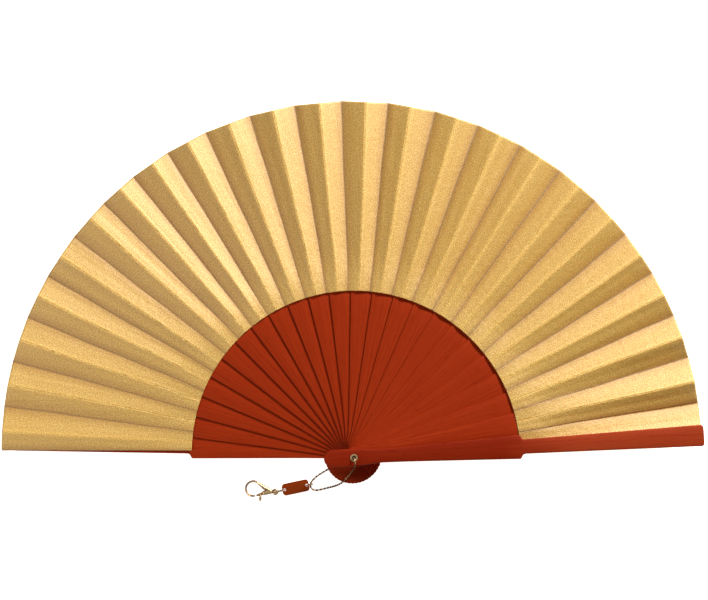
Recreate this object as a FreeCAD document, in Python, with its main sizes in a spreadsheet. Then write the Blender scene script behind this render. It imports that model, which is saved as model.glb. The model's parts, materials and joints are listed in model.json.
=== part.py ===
import FreeCAD
import Part
import Sketcher
import math
import os

# A folding hand fan, lying open on its rear guard.  Millimetres.
# The rivet's axis is Z through the origin, Z = 0 is the table, and the fan opens towards +Y.
# Stick 0 is the rear guard, sticks 1 to 22 are the ribs and stick 23 is the front guard.  Each stick lies
# flat in its own layer, a little higher than the one before, and is turned clockwise from it by fan_step.
# The leaf is a sheet folded twice for each stick: the gore glued on a stick rises from a valley fold to a
# mountain fold, and the free gore beside it falls again to the next stick's valley fold.

RIBS = 22
FRONT = RIBS + 1

DIMENSIONS = {
    # the fan's angles, in degrees
    "rear_angle": 177.9,
    "fan_step": 7.578,
    "half_gore": 1.895,
    # sticks
    "guard_thick": 3.0,
    "rib_thick": 0.75,
    "layer": 0.85,
    "layer_gap": 0.05,
    "tail_radius": 18.2,
    "rib_tail_radius": 17.6,
    "head_width": 10.5,
    "head_end": 6.0,
    "neck_width": 8.2,
    "neck_start": 16.0,
    "neck_end_width": 8.8,
    "neck_end": 29.0,
    "shoulder_width": 14.5,
    "shoulder_radius": 101.4,
    "shoulder_round": 1.6,
    "guard_slip_start": 103.6,
    "guard_slip_width": 8.6,
    "guard_tip_width": 12.9,
    "guard_tip_round": 1.4,
    "guard_tip": 211.8,
    "slip_root": 100.6,
    "slip_lowered": 113.0,
    "slip_end": 207.0,
    "slip_width": 5.2,
    "slip_end_width": 4.2,
    "slip_thick": 0.3,
    # leaf
    "leaf_inner": 102.6,
    "leaf_outer": 213.8,
    "leaf_shift_x": -1.6,
    "leaf_shift_y": 2.2,
    "leaf_thick": 0.15,
    "leaf_gap": 0.05,
    "inner_rise": 1.95,
    "inner_rise_end": 0.1,
    "inner_rise_step": 0.3,
    "outer_rise": 4.1,
    "end_edge_inner": 2.2,
    "end_edge_outer": 6.2,
    # rivet
    "rivet_radius": 1.75,
    "rivet_bore": 1.25,
    "hole_radius": 1.8,
    "front_rim_radius": 2.3,
    "front_rim_height": 0.35,
    "rear_rim_radius": 3.1,
    "rim_overlap": 0.1,
    "rear_rim_height": 0.3,
    "recess_depth": 2.0,
    "recess_tail": 19.0,
    "recess_blade": 24.0,
    # chain, tag and clasp
    "chain_radius": 0.65,
    "ring_radius": 1.75,
    "ring_wire": 0.25,
    "ring_straight": 1.0,
    "link_straight": 3.2,
    "ring_hole_offset": 1.35,
    "ring_chain_offset": 0.3,
    "tag_length": 16.9,
    "tag_width": 7.4,
    "tag_thick": 0.8,
    "tag_round": 2.0,
    "tag_hole_inset": 1.4,
    "tag_hole": 0.85,
    "tag_base": 0.6,
    "tag_angle": 12.0,
    "clasp_angle": 171.4,
    "clasp_base": 0.1,
    "clasp_thick": 2.6,
    "clasp_eye": 2.1,
    "clasp_eye_hole": 0.85,
    "clasp_eye_base": 0.6,
    "clasp_eye_thick": 1.0,
    "clasp_hook_at": 14.0,
    "clasp_hook": 5.2,
    "clasp_hook_hole": 4.0,
    "clasp_arm": 4.8,
    "clasp_arm_back": 2.0,
    "clasp_throat": 7.4,
    "clasp_throat_start": 0.3,
    "clasp_throat_end": 3.44,
    "clasp_neck_start": 1.6,
    "clasp_neck": 1.1,
    "clasp_pin_at": 5.6,
    "clasp_pin_side": 1.0,
    "clasp_pin": 0.4,
    "clasp_pin_hole": 0.45,
    "lever_base": 0.95,
    "lever_thick": 0.9,
    "lever_slot_base": 0.85,
    "lever_slot_thick": 1.1,
}

# The chain's route: out of the rivet's front mouth, over the head and the fanned tails, down to the
# table, round through the first jump ring, and back under the head to the rivet's rear mouth.
CHAIN_FRONT = [
    (0.0, 0.0, 25.9),
    (0.5, -1.2, 27.4),
    (0.9, -3.6, 26.9),
    (0.2, -6.2, 24.9),
    (-1.6, -9.2, 21.4),
    (-4.0, -12.6, 19.4),
    (-6.9, -16.0, 18.0),
    (-10.0, -18.4, 13.0),
    (-12.7, -20.3, 6.6),
    (-15.9, -21.8, 1.8),
    (-19.9, -23.0, 0.7),
    (-23.8, -23.8, 0.7),
    (-26.6, -22.8, 0.9),
]
CHAIN_RING = (-27.4, -19.9, 1.35)
CHAIN_REAR = [
    (-25.9, -17.2, 0.9),
    (-22.8, -14.4, 0.7),
    (-18.6, -11.9, 0.7),
    (-13.2, -8.6, 0.7),
    (-8.0, -5.6, 0.7),
    (-3.9, -3.0, 0.7),
    (-0.8, -0.65, 0.68),
    (0.0, 0.0, 1.85),
]

doc = FreeCAD.newDocument("folding_fan")
dims = doc.addObject("Spreadsheet::Sheet", "dims")
for row, (alias, size) in enumerate(DIMENSIONS.items(), 1):
    dims.set(f"A{row}", alias)
    dims.set(f"B{row}", str(size))
    dims.setAlias(f"B{row}", alias)
doc.recompute()


def size_of(alias):
    """A driving dimension, read back from the sheet."""
    return float(dims.get(alias))


def cell(name):
    """The expression for one cell of the sheet."""
    return f"dims.{name}"


# ---- expressions for the fan's layers and folds -------------------------------------------------


def stick_angle(i):
    return f"(dims.rear_angle - {i} * dims.fan_step)"


def layer_base(i):
    """The underside of stick i."""
    if i == 0:
        return "0"
    return f"(dims.guard_thick + dims.layer_gap + {i - 1} * dims.layer)"


def leaf_floor():
    """Just above the rear guard, where the lowest valley fold lies."""
    return "(dims.guard_thick + dims.layer_gap)"


def leaf_ceiling():
    """Just under the front guard, where the highest mountain fold lies."""
    return f"({layer_base(FRONT)} - dims.layer_gap - dims.leaf_thick)"


def inner_rise(i):
    """Half the fold's height at the leaf's inner edge: nearly flat beside a guard."""
    steps = max(0, min(i, FRONT - i) - 1)
    return f"min(dims.inner_rise; dims.inner_rise_end + dims.inner_rise_step * {steps})"


def inner_level(i):
    """The mean height of stick i's gore at the leaf's inner edge."""
    if i == 0:
        return f"({leaf_floor()} + dims.inner_rise_end)"
    if i == FRONT:
        return f"({leaf_ceiling()} - dims.inner_rise_end)"
    return f"({layer_base(i)} + dims.rib_thick / 2)"


def outer_level(i):
    """The mean height of stick i's gore at the leaf's rim, where the leaf fills the room between the guards."""
    room = f"({leaf_ceiling()} - {leaf_floor()} - 2 * dims.outer_rise)"
    return f"({leaf_floor()} + dims.outer_rise + {i} * {room} / {FRONT})"


def outer_radius(i):
    """The rim is a circle whose centre is a little off the rivet's axis."""
    turn = stick_angle(i)
    return f"(dims.leaf_outer + dims.leaf_shift_x * cos({turn}) + dims.leaf_shift_y * sin({turn}))"


def fold_height(i, radius, side):
    """The height of stick i's valley fold (side -1) or mountain fold (side 1) at a radius."""
    share = f"(({radius} - dims.leaf_inner) / ({outer_radius(i)} - dims.leaf_inner))"
    inner = f"({inner_level(i)} + {side} * {inner_rise(i)})"
    outer = f"({outer_level(i)} + {side} * dims.outer_rise)"
    return f"({inner} + ({outer} - {inner}) * {share})"


# ---- helpers that draw and build ----------------------------------------------------------------


def new_body(label):
    body = doc.addObject("PartDesign::Body", label)
    body.Label = label
    return body


def place(body, angle="0", x="0", y="0", z="0"):
    """Turn a body about Z and move it, both by expressions."""
    body.Placement = FreeCAD.Placement(FreeCAD.Vector(), FreeCAD.Rotation(FreeCAD.Vector(0, 0, 1), 1))
    body.setExpression("Placement.Rotation.Angle", angle)
    body.setExpression("Placement.Base.x", x)
    body.setExpression("Placement.Base.y", y)
    body.setExpression("Placement.Base.z", z)


def new_sketch(body, name, role="XY_Plane", height="0"):
    """A sketch on one of the body's own origin planes, moved along the plane's normal."""
    sketch = body.newObject("Sketcher::SketchObject", f"{body.Name}_{name}")
    plane = [f for f in body.Origin.OriginFeatures if f.Role == role]
    sketch.AttachmentSupport = [(plane[0], "")]
    sketch.MapMode = "FlatFace"
    sketch.setExpression("AttachmentOffset.Base.z", height)
    return sketch


def value_of(sketch, expression):
    return float(sketch.evalExpression(expression))


def fix_point(sketch, edge, end, x, y):
    """Hold one end of an edge at a place given by two expressions."""
    for kind, expression in (("DistanceX", x), ("DistanceY", y)):
        value = value_of(sketch, expression)
        index = sketch.addConstraint(Sketcher.Constraint(kind, -1, 1, edge, end, value))
        sketch.setExpression(f"Constraints[{index}]", expression)


def draw_outline(sketch, corners):
    """A closed outline of straight edges, whose corners are pairs of expressions."""
    at = [FreeCAD.Vector(value_of(sketch, x), value_of(sketch, y), 0) for x, y in corners]
    count = len(corners)
    for n in range(count):
        sketch.addGeometry(Part.LineSegment(at[n], at[(n + 1) % count]))
    for n in range(count):
        fix_point(sketch, n, 1, *corners[n])
        sketch.addConstraint(Sketcher.Constraint("Coincident", n, 2, (n + 1) % count, 1))


def draw_circle(sketch, x, y, radius):
    centre = FreeCAD.Vector(value_of(sketch, x), value_of(sketch, y), 0)
    up = FreeCAD.Vector(0, 0, 1)
    edge = sketch.addGeometry(Part.Circle(centre, up, value_of(sketch, radius)))
    fix_point(sketch, edge, 3, x, y)
    index = sketch.addConstraint(Sketcher.Constraint("Radius", edge, value_of(sketch, radius)))
    sketch.setExpression(f"Constraints[{index}]", radius)


def pad(body, sketch, length):
    feature = body.newObject("PartDesign::Pad", f"{sketch.Name}_pad")
    feature.Profile = sketch
    feature.setExpression("Length", length)
    return feature


def pocket(body, sketch, length):
    """Cut from the sketch upwards."""
    feature = body.newObject("PartDesign::Pocket", f"{sketch.Name}_pocket")
    feature.Profile = sketch
    feature.Reversed = True
    feature.setExpression("Length", length)
    return feature


def loft(body, sections):
    feature = body.newObject("PartDesign::AdditiveLoft", f"{body.Name}_loft")
    feature.Profile = sections[0]
    feature.Sections = sections[1:]
    feature.Ruled = True
    return feature


def round_corners(body, places, radius):
    """Round the upright edges of a body's last feature that stand at the given places."""
    doc.recompute()
    base = body.Tip
    spots = [(value_of(base, x), value_of(base, y)) for x, y in places]
    names = []
    for number, edge in enumerate(base.Shape.Edges, 1):
        first, last = edge.Vertexes[0].Point, edge.Vertexes[-1].Point
        upright = math.hypot(first.x - last.x, first.y - last.y) < 1e-6
        near = any(math.hypot(first.x - x, first.y - y) < 1e-3 for x, y in spots)
        if upright and near:
            names.append(f"Edge{number}")
    if len(names) < len(spots):
        raise SystemExit(f"{body.Label}: found {len(names)} of {len(spots)} corners")
    feature = body.newObject("PartDesign::Fillet", f"{base.Name}_round")
    feature.Base = (base, names)
    feature.setExpression("Radius", radius)
    return feature


def mirrored(corners):
    """Both sides of an outline that is the same above and below its centre line."""
    lower = [(x, f"-({y})") for x, y in reversed(corners)]
    return corners + lower


# ---- sticks -------------------------------------------------------------------------------------


def blade_corners(tail):
    """One side of a stick, from the tail over the head and neck to the shoulder."""
    head = "dims.head_width / 2"
    return [
        (f"-dims.{tail}", head),
        (cell("head_end"), head),
        (cell("neck_start"), "dims.neck_width / 2"),
        (cell("neck_end"), "dims.neck_end_width / 2"),
        (cell("shoulder_radius"), "dims.shoulder_width / 2"),
    ]


def round_tail(body, tail):
    spots = [(f"-dims.{tail}", "dims.head_width / 2"), (f"-dims.{tail}", "-dims.head_width / 2")]
    round_corners(body, spots, "dims.head_width / 2 - 0.05")


def make_guard(label, i):
    """A thick end stick, with a slip nearly as wide as its blade."""
    body = new_body(label)
    place(body, angle=stick_angle(i), z=layer_base(i))
    sketch = new_sketch(body, "outline")
    slip = "dims.guard_slip_width / 2"
    tip = "dims.guard_tip_width / 2"
    side = blade_corners("tail_radius") + [(cell("guard_slip_start"), slip), (cell("guard_tip"), tip)]
    draw_outline(sketch, mirrored(side))
    draw_circle(sketch, "0", "0", cell("hole_radius"))
    pad(body, sketch, cell("guard_thick"))
    round_tail(body, "tail_radius")
    shoulder = "dims.shoulder_width / 2"
    spots = [(cell("shoulder_radius"), shoulder), (cell("shoulder_radius"), f"-{shoulder}")]
    round_corners(body, spots, "dims.shoulder_round / 2")
    spots = [(cell("guard_tip"), tip), (cell("guard_tip"), f"-{tip}")]
    round_corners(body, spots, cell("guard_tip_round"))
    return body


def make_rear_guard():
    """Its head is thinner behind, so that the chain passes under it."""
    body = make_guard("rear_guard", 0)
    recess = new_sketch(body, "recess")
    half = "dims.shoulder_width / 2"
    corners = [("-dims.recess_tail", half), (cell("recess_blade"), half)]
    draw_outline(recess, mirrored(corners))
    pocket(body, recess, cell("recess_depth"))
    return body


def slip_section(body, i, name, radius, width, lowered):
    """A thin flat section across the slip, whose top touches the lower edge of the gore glued on it."""
    sketch = new_sketch(body, name, "YZ_Plane", radius)
    half = f"({width} / 2)"
    if lowered:
        valley = fold_height(i, radius, -1)
        mountain = fold_height(i, radius, 1)
        fall = f"(({mountain} - {valley}) / (2 * {radius} * tan(dims.half_gore)) * {half})"
        top = f"(({valley} + {mountain}) / 2 - {fall} - {layer_base(i)})"
    else:
        top = "(dims.rib_thick / 2 + dims.slip_thick / 2)"
    draw_outline(sketch, [
        (half, top),
        (f"-{half}", top),
        (f"-{half}", f"{top} - dims.slip_thick"),
        (half, f"{top} - dims.slip_thick"),
    ])
    return sketch


def make_rib(i):
    """A thin stick: a flat blade, and a slip that drops behind the leaf."""
    body = new_body(f"rib_{i:02d}")
    place(body, angle=stick_angle(i), z=layer_base(i))
    sketch = new_sketch(body, "outline")
    draw_outline(sketch, mirrored(blade_corners("rib_tail_radius")))
    draw_circle(sketch, "0", "0", cell("hole_radius"))
    pad(body, sketch, cell("rib_thick"))
    round_tail(body, "rib_tail_radius")
    shoulder = "dims.shoulder_width / 2"
    spots = [(cell("shoulder_radius"), shoulder), (cell("shoulder_radius"), f"-{shoulder}")]
    round_corners(body, spots, cell("shoulder_round"))
    sections = [
        slip_section(body, i, "root", cell("slip_root"), cell("slip_width"), False),
        slip_section(body, i, "low", cell("slip_lowered"), cell("slip_width"), True),
        slip_section(body, i, "end", cell("slip_end"), cell("slip_end_width"), True),
    ]
    loft(body, sections)
    return body


# ---- leaf ---------------------------------------------------------------------------------------


def pleat_section(body, i, name, radius):
    """The folded strip across the mountain fold of pleat i: gore on the left, free gore on the right."""
    sketch = new_sketch(body, name, "YZ_Plane", radius)
    across = f"({radius} * tan(2 * dims.half_gore))"
    left = across
    if i == 0:
        edge = "end_edge_inner" if name == "inner" else "end_edge_outer"
        left = f"(dims.{edge} + {radius} * tan(dims.half_gore))"
    low = fold_height(i, radius, -1)
    high = fold_height(i, radius, 1)
    after = fold_height(i + 1, radius, -1)
    right = f"(dims.leaf_gap - {across})"
    corners = [
        (left, low),
        ("0", high),
        (right, after),
        (right, f"{after} + dims.leaf_thick"),
        ("0", f"{high} + dims.leaf_thick"),
        (left, f"{low} + dims.leaf_thick"),
    ]
    draw_outline(sketch, corners)
    return sketch


def make_pleat(i):
    """Pleat i + 1: the gore glued on stick i and the free gore that falls to the next stick."""
    body = new_body(f"leaf_pleat_{i + 1:02d}")
    place(body, angle=f"{stick_angle(i)} - dims.half_gore")
    sections = [
        pleat_section(body, i, "inner", cell("leaf_inner")),
        pleat_section(body, i, "outer", outer_radius(i)),
    ]
    loft(body, sections)
    return body


def end_section(body, name, radius):
    sketch = new_sketch(body, name, "YZ_Plane", radius)
    left = f"({radius} * tan(dims.half_gore))"
    right = f"-dims.end_edge_{name}"
    low = fold_height(FRONT, radius, -1)
    high = fold_height(FRONT, radius, 1)
    corners = [
        (left, low),
        (right, high),
        (right, f"{high} + dims.leaf_thick"),
        (left, f"{low} + dims.leaf_thick"),
    ]
    draw_outline(sketch, corners)
    return sketch


def make_leaf_end():
    """The last gore, which is glued under the front guard."""
    body = new_body("leaf_end")
    place(body, angle=stick_angle(FRONT))
    sections = [
        end_section(body, "inner", cell("leaf_inner")),
        end_section(body, "outer", outer_radius(FRONT)),
    ]
    loft(body, sections)
    return body


# ---- rivet --------------------------------------------------------------------------------------


def make_rivet():
    """A hollow barrel with a rolled rim in front."""
    body = new_body("rivet")
    top = f"({layer_base(FRONT)} + dims.guard_thick)"
    rear = "(dims.recess_depth - dims.layer_gap)"
    place(body, z=rear)
    barrel = new_sketch(body, "barrel")
    draw_circle(barrel, "0", "0", cell("rivet_radius"))
    draw_circle(barrel, "0", "0", cell("rivet_bore"))
    pad(body, barrel, f"{top} + dims.layer_gap + dims.front_rim_height - {rear}")
    rim = new_sketch(body, "rim", height=f"{top} + dims.layer_gap - {rear}")
    draw_circle(rim, "0", "0", cell("front_rim_radius"))
    draw_circle(rim, "0", "0", "dims.rivet_radius - dims.rim_overlap")
    pad(body, rim, cell("front_rim_height"))
    return body


def make_rivet_washer():
    """The rear rim, a flat ring that sits in the rear guard's recess under the barrel's end."""
    body = new_body("rivet_washer")
    place(body, z="dims.recess_depth - dims.layer_gap - dims.rear_rim_height")
    sketch = new_sketch(body, "ring")
    draw_circle(sketch, "0", "0", cell("rear_rim_radius"))
    draw_circle(sketch, "0", "0", cell("rivet_bore"))
    pad(body, sketch, cell("rear_rim_height"))
    return body


# ---- chain --------------------------------------------------------------------------------------


# How much of each run between two points of the chain's route an arc may use.
ARC_SHARE = 0.45


def rounded_path(points):
    """Straight runs joined by tangent arcs, each as large as its two runs allow."""
    at = [FreeCAD.Vector(*p) for p in points]
    edges = []
    radii = []
    here = at[0]
    for n in range(1, len(at) - 1):
        before = at[n] - at[n - 1]
        after = at[n + 1] - at[n]
        turn = before.getAngle(after)
        setback = ARC_SHARE * min(before.Length, after.Length)
        radius = setback / math.tan(turn / 2)
        radii.append(round(radius, 1))
        start = at[n] - before.normalize() * setback
        stop = at[n] + after.normalize() * setback
        inward = (start + stop) * 0.5 - at[n]
        middle = at[n] + inward.normalize() * (radius / math.cos(turn / 2) - radius)
        edges.append(Part.LineSegment(here, start).toShape())
        edges.append(Part.Arc(start, middle, stop).toShape())
        here = stop
    edges.append(Part.LineSegment(here, at[-1]).toShape())
    return Part.Wire(edges), radii


def make_chain_loop():
    """The whole loop as one plain tube."""
    route = CHAIN_FRONT + [CHAIN_RING] + CHAIN_REAR
    path, radii = rounded_path(route)
    radius = size_of("chain_radius")
    start = path.Edges[0]
    section = Part.Wire([Part.Circle(start.Vertexes[0].Point, start.tangentAt(0), radius).toShape()])
    tube = Part.Wire(path).makePipeShell([section], True, False)
    print("chain length", round(path.Length, 1), "radii", radii)
    print("chain volume ratio", round(tube.Volume / (path.Length * math.pi * radius**2), 4))
    feature = doc.addObject("Part::Feature", "chain_loop")
    feature.Label = "chain_loop"
    feature.Shape = tube
    feature.Placement = FreeCAD.Placement()
    return feature


def make_chain_in_rivet():
    """The stretch of chain inside the hollow rivet, from mouth to mouth."""
    rod = doc.addObject("Part::Cylinder", "chain_in_rivet")
    rod.Label = "chain_in_rivet"
    rod.setExpression("Radius", cell("chain_radius"))
    rod.setExpression("Height", f"{CHAIN_FRONT[0][2]} - {CHAIN_REAR[-1][2]}")
    rod.setExpression("Placement.Base.z", f"{CHAIN_REAR[-1][2]}")
    return rod


# ---- tag, rings and clasp -----------------------------------------------------------------------

TAG_TURN = "dims.tag_angle"


def along(distance):
    """A point on the line of the tag, from the chain's leftmost point, as two expressions."""
    return (
        f"{CHAIN_RING[0]} - ({distance}) * cos({TAG_TURN})",
        f"{CHAIN_RING[1]} - ({distance}) * sin({TAG_TURN})",
    )


RING_AT = "dims.ring_chain_offset"
TAG_HOLE_NEAR = f"({RING_AT} + dims.ring_straight / 2 + dims.ring_hole_offset)"
TAG_MIDDLE = f"({TAG_HOLE_NEAR} - dims.tag_hole_inset + dims.tag_length / 2)"
TAG_HOLE_FAR = f"({TAG_MIDDLE} + dims.tag_length / 2 - dims.tag_hole_inset)"
LINK_AT = f"({TAG_HOLE_FAR} + dims.ring_hole_offset + dims.link_straight / 2)"
EYE_AT = f"({LINK_AT} + dims.ring_hole_offset + dims.link_straight / 2)"


def make_ring(label, distance, straight):
    """An upright oval wire ring in line with the tag, standing on the table."""
    body = new_body(label)
    x, y = along(distance)
    place(body, angle=TAG_TURN, x=x, y=y, z="dims.ring_radius + dims.ring_wire")
    path = new_sketch(body, "path", "XZ_Plane")
    half = value_of(path, straight) / 2
    radius = size_of("ring_radius")
    top = path.addGeometry(Part.LineSegment(FreeCAD.Vector(-half, radius), FreeCAD.Vector(half, radius)))
    bottom = path.addGeometry(Part.LineSegment(FreeCAD.Vector(-half, -radius), FreeCAD.Vector(half, -radius)))
    fix_point(path, top, 1, f"-{straight} / 2", cell("ring_radius"))
    fix_point(path, top, 2, f"{straight} / 2", cell("ring_radius"))
    fix_point(path, bottom, 1, f"-{straight} / 2", "-dims.ring_radius")
    fix_point(path, bottom, 2, f"{straight} / 2", "-dims.ring_radius")
    for side in (-1, 1):
        ends = [FreeCAD.Vector(side * half, -side * radius), FreeCAD.Vector(side * half, side * radius)]
        through = FreeCAD.Vector(side * (half + radius), 0)
        path.addGeometry(Part.Arc(ends[0], through, ends[1]))
    wire = new_sketch(body, "wire", "YZ_Plane")
    draw_circle(wire, "0", cell("ring_radius"), cell("ring_wire"))
    pipe = body.newObject("PartDesign::AdditivePipe", f"{label}_pipe")
    pipe.Profile = wire
    pipe.Spine = (path, [])
    return body


def make_tag():
    """A small blank wooden plate with a hole at each end."""
    body = new_body("tag")
    x, y = along(TAG_MIDDLE)
    place(body, angle=TAG_TURN, x=x, y=y, z=cell("tag_base"))
    plate = new_sketch(body, "plate")
    draw_outline(plate, mirrored([("-dims.tag_length / 2", "dims.tag_width / 2"),
                                  ("dims.tag_length / 2", "dims.tag_width / 2")]))
    for side in ("-", ""):
        draw_circle(plate, f"{side}(dims.tag_length / 2 - dims.tag_hole_inset)", "0", cell("tag_hole"))
    pad(body, plate, cell("tag_thick"))
    spots = [(f"{a}dims.tag_length / 2", f"{b}dims.tag_width / 2") for a in ("", "-") for b in ("", "-")]
    round_corners(body, spots, cell("tag_round"))
    return body


# Corners of the lever, its slot and the opening that it closes.  Each is measured from the pin's centre, or
# along from the hook's centre and across from the edge of the hook's hole.
LEVER_BAR = [
    ("pin", -1.2, -0.1),
    ("pin", -0.5, -0.75),
    ("pin", 0.9, -0.6),
    ("hook", -2.3, -0.8),
    ("hook", -2.5, 0.6),
    ("hook", -4.4, 0.3),
    ("hook", -4.6, 3.0),
    ("hook", -6.0, 3.0),
    ("hook", -6.4, -0.6),
    ("pin", 0.4, 0.9),
]
LEVER_SLOT = [
    ("pin", -1.6, 0.0),
    ("pin", -0.8, -1.1),
    ("pin", 2.3, -1.0),
    ("hook", -1.9, -1.15),
    ("hook", -2.3, 2.4),
    ("hook", -5.2, 2.4),
]
LEVER_MOUTH = [
    ("hook", -6.2, -3.1),
    ("hook", -1.9, -1.3),
    ("hook", -2.3, 2.7),
    ("hook", -6.2, 2.7),
]
MEASURED_FROM = {
    "pin": ("dims.clasp_pin_at", "dims.clasp_pin_side"),
    "hook": ("dims.clasp_hook_at", "dims.clasp_hook_hole"),
}


def clasp_corners(table):
    corners = []
    for start, forward, across in table:
        x, y = MEASURED_FROM[start]
        corners.append((f"{x} + {forward}", f"{y} + {across}"))
    return corners


def make_clasp_body():
    """The eye, the neck, and the hook, with a slot along its side for the lever."""
    body = new_body("clasp_body")
    x, y = along(EYE_AT)
    place(body, angle=cell("clasp_angle"), x=x, y=y)
    eye = new_sketch(body, "eye", height=cell("clasp_eye_base"))
    draw_circle(eye, "0", "0", cell("clasp_eye"))
    pad(body, eye, cell("clasp_eye_thick"))
    hook = new_sketch(body, "hook", height=cell("clasp_base"))
    draw_circle(hook, cell("clasp_hook_at"), "0", cell("clasp_hook"))
    pad(body, hook, cell("clasp_thick"))
    arms = new_sketch(body, "arms", height=cell("clasp_base"))
    reach = "dims.clasp_hook_at - dims.clasp_arm_back"
    draw_outline(arms, mirrored([(cell("clasp_neck_start"), cell("clasp_neck")), (reach, cell("clasp_arm"))]))
    pad(body, arms, cell("clasp_thick"))
    hole = new_sketch(body, "eye_hole")
    draw_circle(hole, "0", "0", cell("clasp_eye_hole"))
    pocket(body, hole, "dims.clasp_thick * 2")
    inside = new_sketch(body, "inside")
    draw_circle(inside, cell("clasp_hook_at"), "0", cell("clasp_hook_hole"))
    pocket(body, inside, "dims.clasp_thick * 2")
    throat = new_sketch(body, "throat")
    narrow = (cell("clasp_throat"), cell("clasp_throat_start"))
    draw_outline(throat, mirrored([narrow, (reach, cell("clasp_throat_end"))]))
    pocket(body, throat, "dims.clasp_thick * 2")
    mouth = new_sketch(body, "mouth")
    draw_outline(mouth, clasp_corners(LEVER_MOUTH))
    pocket(body, mouth, "dims.clasp_thick * 2")
    slot = new_sketch(body, "slot", height=cell("lever_slot_base"))
    draw_outline(slot, clasp_corners(LEVER_SLOT))
    pocket(body, slot, cell("lever_slot_thick"))
    pin_hole = new_sketch(body, "pin_hole")
    draw_circle(pin_hole, cell("clasp_pin_at"), cell("clasp_pin_side"), cell("clasp_pin"))
    pocket(body, pin_hole, "dims.clasp_thick * 2")
    return body


def make_clasp_lever():
    """The trigger, with a thumb piece that stands out from the clasp's side."""
    body = new_body("clasp_lever")
    x, y = along(EYE_AT)
    place(body, angle=cell("clasp_angle"), x=x, y=y)
    bar = new_sketch(body, "bar", height=cell("lever_base"))
    draw_outline(bar, clasp_corners(LEVER_BAR))
    draw_circle(bar, cell("clasp_pin_at"), cell("clasp_pin_side"), cell("clasp_pin_hole"))
    pad(body, bar, cell("lever_thick"))
    return body


def make_clasp_pin():
    body = new_body("clasp_pin")
    x, y = along(EYE_AT)
    place(body, angle=cell("clasp_angle"), x=x, y=y, z=cell("clasp_base"))
    sketch = new_sketch(body, "round")
    draw_circle(sketch, cell("clasp_pin_at"), cell("clasp_pin_side"), cell("clasp_pin"))
    pad(body, sketch, cell("clasp_thick"))
    return body


# ---- build, check and write ---------------------------------------------------------------------

parts = [make_rear_guard()]
parts += [make_rib(i) for i in range(1, RIBS + 1)]
parts += [make_guard("front_guard", FRONT)]
parts += [make_pleat(i) for i in range(FRONT)]
parts += [make_leaf_end(), make_rivet(), make_rivet_washer()]
parts += [make_chain_loop(), make_chain_in_rivet()]
parts += [make_ring("chain_ring", RING_AT, cell("ring_straight"))]
parts += [make_ring("clasp_ring", LINK_AT, cell("link_straight"))]
parts += [make_tag(), make_clasp_body(), make_clasp_lever(), make_clasp_pin()]
doc.recompute()

for thing in doc.Objects:
    if "Invalid" in thing.State or "Error" in thing.State:
        raise SystemExit(f"{thing.Label} failed to compute")
for part in parts:
    if part.Shape.isNull() or not part.Shape.isValid():
        raise SystemExit(f"{part.Label} has no valid shape")
    if len(part.Shape.Solids) != 1:
        raise SystemExit(f"{part.Label} has {len(part.Shape.Solids)} solids")

os.makedirs("parts", exist_ok=True)
for part in parts:
    part.Shape.exportStep(os.path.join("parts", f"{part.Label}.step"))
print(len(parts), "parts written")
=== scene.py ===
import json
import math
import random

import bmesh
import bpy
from mathutils import Matrix, Vector


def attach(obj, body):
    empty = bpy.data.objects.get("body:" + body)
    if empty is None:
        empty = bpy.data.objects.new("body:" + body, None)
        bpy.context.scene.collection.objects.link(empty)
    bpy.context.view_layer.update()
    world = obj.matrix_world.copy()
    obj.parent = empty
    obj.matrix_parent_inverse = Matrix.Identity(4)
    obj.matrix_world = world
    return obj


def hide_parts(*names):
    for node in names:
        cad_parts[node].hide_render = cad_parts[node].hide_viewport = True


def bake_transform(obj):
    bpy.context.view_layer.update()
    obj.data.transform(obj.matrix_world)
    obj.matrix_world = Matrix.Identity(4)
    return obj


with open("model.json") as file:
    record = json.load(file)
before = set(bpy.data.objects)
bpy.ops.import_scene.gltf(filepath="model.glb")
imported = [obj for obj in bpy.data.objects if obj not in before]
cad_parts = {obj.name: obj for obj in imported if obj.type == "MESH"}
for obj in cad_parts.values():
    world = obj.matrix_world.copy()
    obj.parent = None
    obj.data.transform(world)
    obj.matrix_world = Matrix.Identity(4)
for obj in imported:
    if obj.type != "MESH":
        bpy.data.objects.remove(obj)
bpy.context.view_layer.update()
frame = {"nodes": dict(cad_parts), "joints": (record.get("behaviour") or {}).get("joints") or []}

# A folding hand fan, lying open.  Lengths below are in millimetres, and MM turns them into metres.
# Stick 0 is the rear guard, sticks 1 to 22 are the ribs and stick 23 is the front guard.

MM = 0.001

FRONT = sum(1 for joint in frame["joints"] if joint["name"].startswith("fold_"))
STEP = next(j for j in frame["joints"] if j["name"] == "fold_01")["range_deg"][1]
REAR_ANGLE = 177.9
# A stick's two folds lie this far to either side of it, in degrees.
HALF_GORE = STEP / 4

# sticks: each has a round head, a neck, a blade that widens to its shoulder, and then a narrower slip
GUARD_THICK = 3.0
RIB_THICK = 0.75
# From one rib's underside to the next one's.
LAYER = 0.85
GAP = 0.05
GUARD_TAIL = 18.2
RIB_TAIL = 17.6
RIB_ROUNDNESS = 1.6
HEAD = 10.5
HEAD_END = 2.0
NECK = 8.2
NECK_START = 16.0
NECK_END = 29.0
NECK_END_WIDTH = 8.8
SHOULDER = 14.5
SHOULDER_AT = 101.4
# The radius of the corners at the shoulder and at a guard's tip.
CORNER = 1.4
GUARD_TIP_AT = 211.8
GUARD_NOTCH_FROM = SHOULDER_AT - 1.0
GUARD_SLIP_FROM = SHOULDER_AT + 3.2
GUARD_SLIP = 8.6
GUARD_TIP = 12.9
# How far the edges are rounded, and how much lower a crowned top is at its sides than in the middle.
GUARD_EDGE = 0.55
RIB_EDGE = 0.16
GUARD_CROWN = 0.35
SLIP_END = 207.0
SLIP = 5.2
SLIP_TIP = 4.2
SLIP_THICK = 0.3
SLIP_GAP = 0.7
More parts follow.
